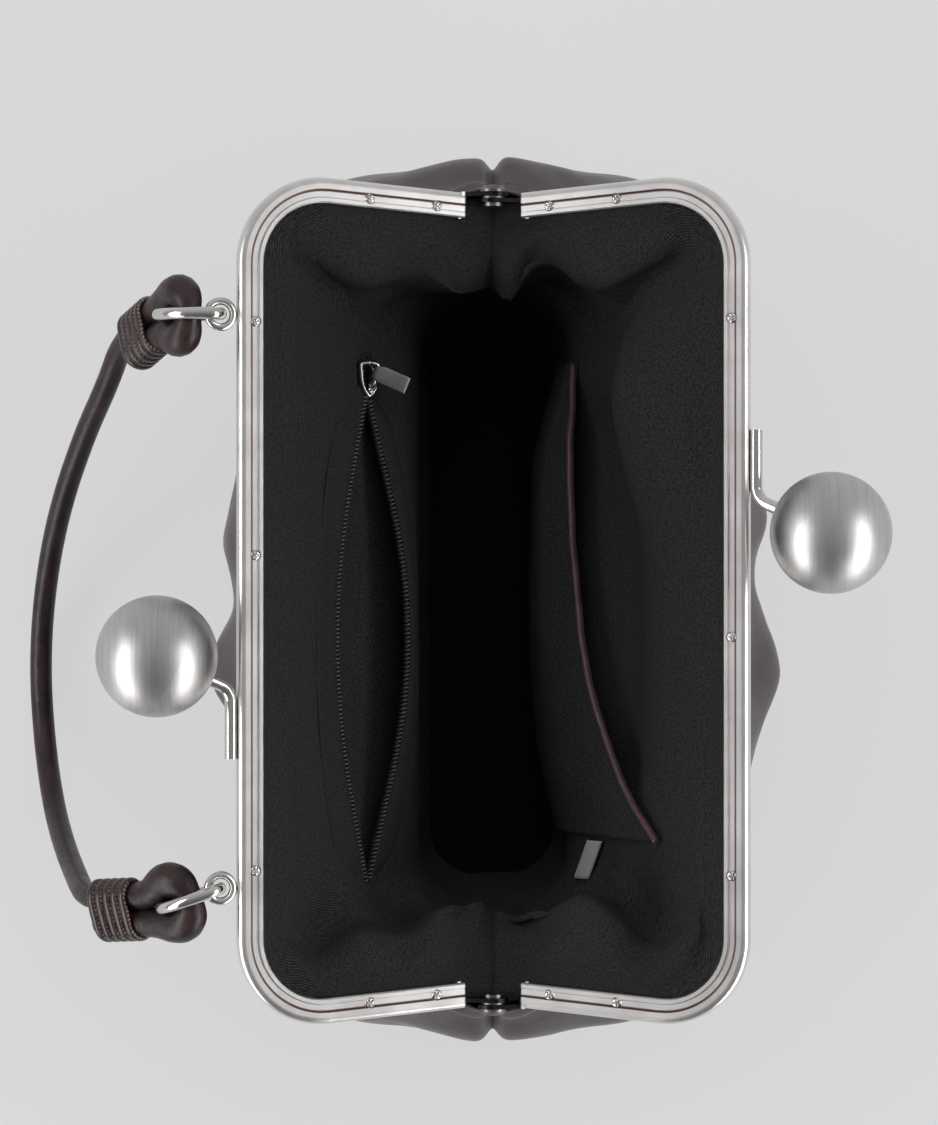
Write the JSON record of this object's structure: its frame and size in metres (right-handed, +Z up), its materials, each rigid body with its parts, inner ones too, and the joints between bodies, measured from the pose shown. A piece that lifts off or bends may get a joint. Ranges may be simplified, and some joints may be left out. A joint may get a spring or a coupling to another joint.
{
  "type": "kiss lock frame purse",
  "caption": "Soft leather purse on a hinged metal frame with ball kiss lock, rolled handle on rings, twill lining, zip pocket and slip pocket, standing open.",
  "frame": {"origin": "centre of the underside of the base panel, on the surface the purse stands on", "axes": "+X the way the rear half opens, +Y along the frame rails, +Z up"},
  "size_m": [0.2634, 0.2648, 0.1398],
  "materials": {
    "satin_nickel": "satin",
    "brushed_ball": "brushed",
    "nickel_wire": "polished",
    "steel_screw": "domed, cross recessed",
    "leather": "fine creased",
    "handle_leather": "rolled, worn",
    "lace_leather": "worn edges",
    "piping_leather": "smooth",
    "twill": "cotton twill",
    "grey_tape": "plain weave",
    "board": "plain",
    "zip_tape": "woven",
    "zip_nylon": "satin",
    "zip_metal": "satin"
  },
  "bodies": {
    "bag": {"base_panel": "leather", "base_board": "board", "wall_stiffener": "board", "lining_base": "twill", "front_panel": "leather", "rear_panel": "leather", "front_lining": "twill", "rear_lining": "twill", "zip_pocket": "twill", "upper_zip_tape": "zip_tape", "lower_zip_tape": "zip_tape", "upper_zip_coil": "zip_nylon", "lower_zip_coil": "zip_nylon", "zip_stops": "zip_metal", "slip_pocket": "twill", "slip_pocket_piping": "piping_leather", "seam_tab": "grey_tape"},
    "front_half": {"front_frame": "satin_nickel", "front_frame_screws": "steel_screw", "front_stem": "nickel_wire", "front_ball": "brushed_ball", "handle_eyelets": "nickel_wire", "hinge_rivets": "satin_nickel"},
    "rear_half": {"rear_frame": "satin_nickel", "rear_frame_screws": "steel_screw", "rear_stem": "nickel_wire", "rear_ball": "brushed_ball", "hinge_washers": "satin_nickel"},
    "handle": {"handle_cord": "handle_leather", "upper_wrap": "lace_leather", "lower_wrap": "lace_leather", "upper_ring": "nickel_wire", "lower_ring": "nickel_wire"},
    "slider": {"zip_slider": "zip_metal"},
    "pull": {"zip_pull": "zip_metal"}
  },
  "joints": [
    {"name": "front_hinge", "type": "hinge", "parent": "bag", "child": "front_half", "pos_m": [0, 0, 0.085], "axis": [0, 1, 0], "range_deg": [0, 70], "deforming": ["front_panel", "rear_panel", "front_lining", "rear_lining"]},
    {"name": "rear_hinge", "type": "hinge", "parent": "bag", "child": "rear_half", "pos_m": [0, 0, 0.085], "axis": [0, 1, 0], "range_deg": [-70, 0], "deforming": ["front_panel", "rear_panel", "front_lining", "rear_lining"]},
    {"name": "handle_swing", "type": "hinge", "parent": "front_half", "child": "handle", "pos_m": [-0.08351, 0, 0.11247], "axis": [0, 1, 0], "range_deg": [0, 90]},
    {"name": "zip_slide", "type": "slide", "parent": "bag", "child": "slider", "axis": [0, -1, 0], "range_m": [0, 0.148], "deforming": ["upper_zip_tape", "lower_zip_tape", "upper_zip_coil", "lower_zip_coil"]},
    {"name": "pull_swing", "type": "hinge", "parent": "slider", "child": "pull", "pos_m": [-0.03552, 0.067, 0.07003], "axis": [0, -1, 0], "range_deg": [0, 110]}
  ],
  "couplings": [
    {"joint": "rear_hinge", "follows": "front_hinge", "ratio": -1}
  ]
}
